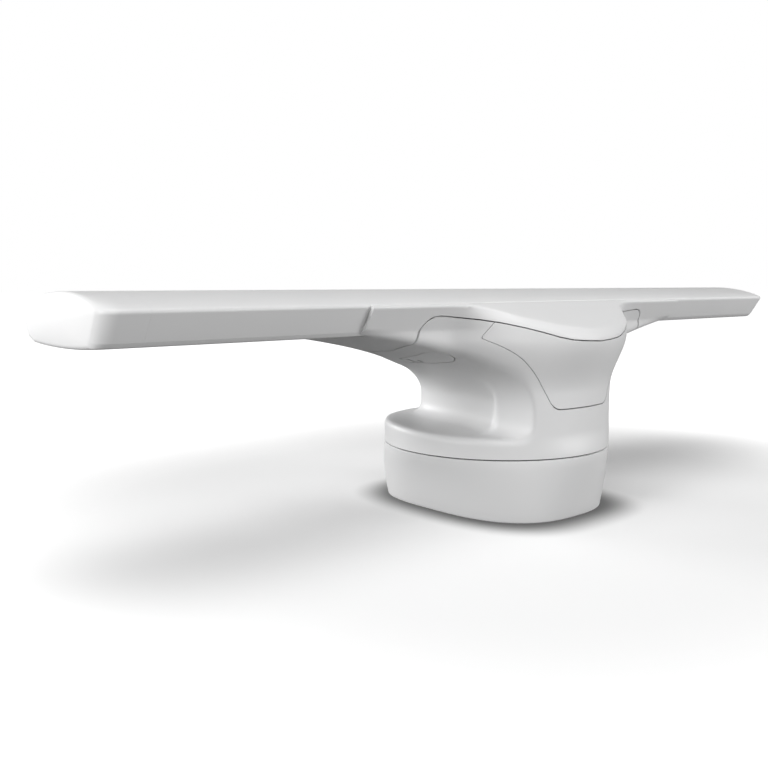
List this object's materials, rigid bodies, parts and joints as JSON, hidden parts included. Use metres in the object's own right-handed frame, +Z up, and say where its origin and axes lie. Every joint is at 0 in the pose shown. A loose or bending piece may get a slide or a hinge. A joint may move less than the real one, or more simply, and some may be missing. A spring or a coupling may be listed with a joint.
{
  "type": "open-array marine radar antenna",
  "caption": "White marine radar scanner: a fixed oval base pan under a sculpted turret whose neck carries a long flat antenna beam that spins without end.",
  "frame": {"origin": "middle of the base pan's flat mounting face, on the turret's turning axis", "axes": "+Z up along the turning axis; X along the antenna beam at rest; -Y towards the turret's nose and front cover"},
  "size_m": [1.382, 0.3729, 0.33],
  "materials": {
    "white_shell": "satin white marine paint over moulded plastic",
    "black_rubber": "matt black rubber",
    "black_plastic": "black moulded plastic",
    "brass": "machined brass",
    "cast_aluminium": "cast and extruded aluminium",
    "circuit_board": "green printed circuit board",
    "steel": "machined stainless steel"
  },
  "bodies": {
    "pedestal": {"base_pan": "white_shell", "turret_seal": "black_rubber", "power_socket": "black_plastic", "power_socket_nut": "steel", "data_socket": "black_plastic", "data_socket_nut": "steel", "breather_vent": "black_plastic", "earth_stud": "brass", "earth_nut": "brass", "switch_body": "black_plastic", "transceiver_heat_sink": "cast_aluminium", "transceiver_box": "cast_aluminium", "power_board": "circuit_board", "power_board_tray": "cast_aluminium", "bearing_housing": "cast_aluminium", "lower_bearing_outer": "steel", "upper_bearing_outer": "steel", "bearing_circlip": "steel", "index_sensor": "black_plastic", "drive_motor": "black_plastic", "motor_bracket": "cast_aluminium", "rotary_joint_stator": "brass", "foot_insert_1": "brass", "foot_insert_2": "brass", "foot_insert_3": "brass", "foot_insert_4": "brass"},
    "turret": {"turret_shell": "white_shell", "front_cover": "white_shell", "hub_fairing": "white_shell", "bolt_plug_left": "white_shell", "bolt_plug_right": "white_shell", "turntable_plate": "cast_aluminium", "hub_casting": "cast_aluminium", "beam_seat": "cast_aluminium", "array_bolt_1": "steel", "array_bolt_2": "steel", "array_bolt_3": "steel", "array_bolt_4": "steel", "beam_shell": "white_shell", "end_cap_left": "white_shell", "end_cap_right": "white_shell", "slotted_waveguide": "brass", "flare_horn": "cast_aluminium", "array_spine": "cast_aluminium", "feed_line": "steel", "spindle": "steel", "spindle_nut": "steel", "gear_spacer": "steel", "ring_gear": "steel", "index_magnet": "steel", "lower_bearing_inner": "steel", "upper_bearing_inner": "steel", "rotary_joint_rotor": "brass"},
    "motor_rotor": {"motor_pinion": "steel"},
    "lower_balls": {"lower_ball_cage": "steel"},
    "upper_balls": {"upper_ball_cage": "steel"},
    "rocker": {"switch_rocker": "black_rubber"}
  },
  "joints": [
    {"name": "turret_spin", "type": "hinge", "parent": "pedestal", "child": "turret", "pos_m": [0, 0, 0.094], "axis": [0, 0, 1], "continuous": true},
    {"name": "pinion_spin", "type": "hinge", "parent": "pedestal", "child": "motor_rotor", "pos_m": [0, 0.099, 0.07], "axis": [0, 0, 1], "continuous": true},
    {"name": "lower_balls_spin", "type": "hinge", "parent": "pedestal", "child": "lower_balls", "pos_m": [0, 0, 0.02], "axis": [0, 0, 1], "continuous": true},
    {"name": "upper_balls_spin", "type": "hinge", "parent": "pedestal", "child": "upper_balls", "pos_m": [0, 0, 0.055], "axis": [0, 0, 1], "continuous": true},
    {"name": "rocker_tilt", "type": "hinge", "parent": "pedestal", "child": "rocker", "pos_m": [0, 0.1684, 0.044], "axis": [1, 0, 0], "range_deg": [-10, 10]}
  ],
  "couplings": [
    {"joint": "pinion_spin", "follows": "turret_spin", "ratio": -5.6},
    {"joint": "lower_balls_spin", "follows": "turret_spin", "ratio": 0.4386},
    {"joint": "upper_balls_spin", "follows": "turret_spin", "ratio": 0.4386}
  ]
}
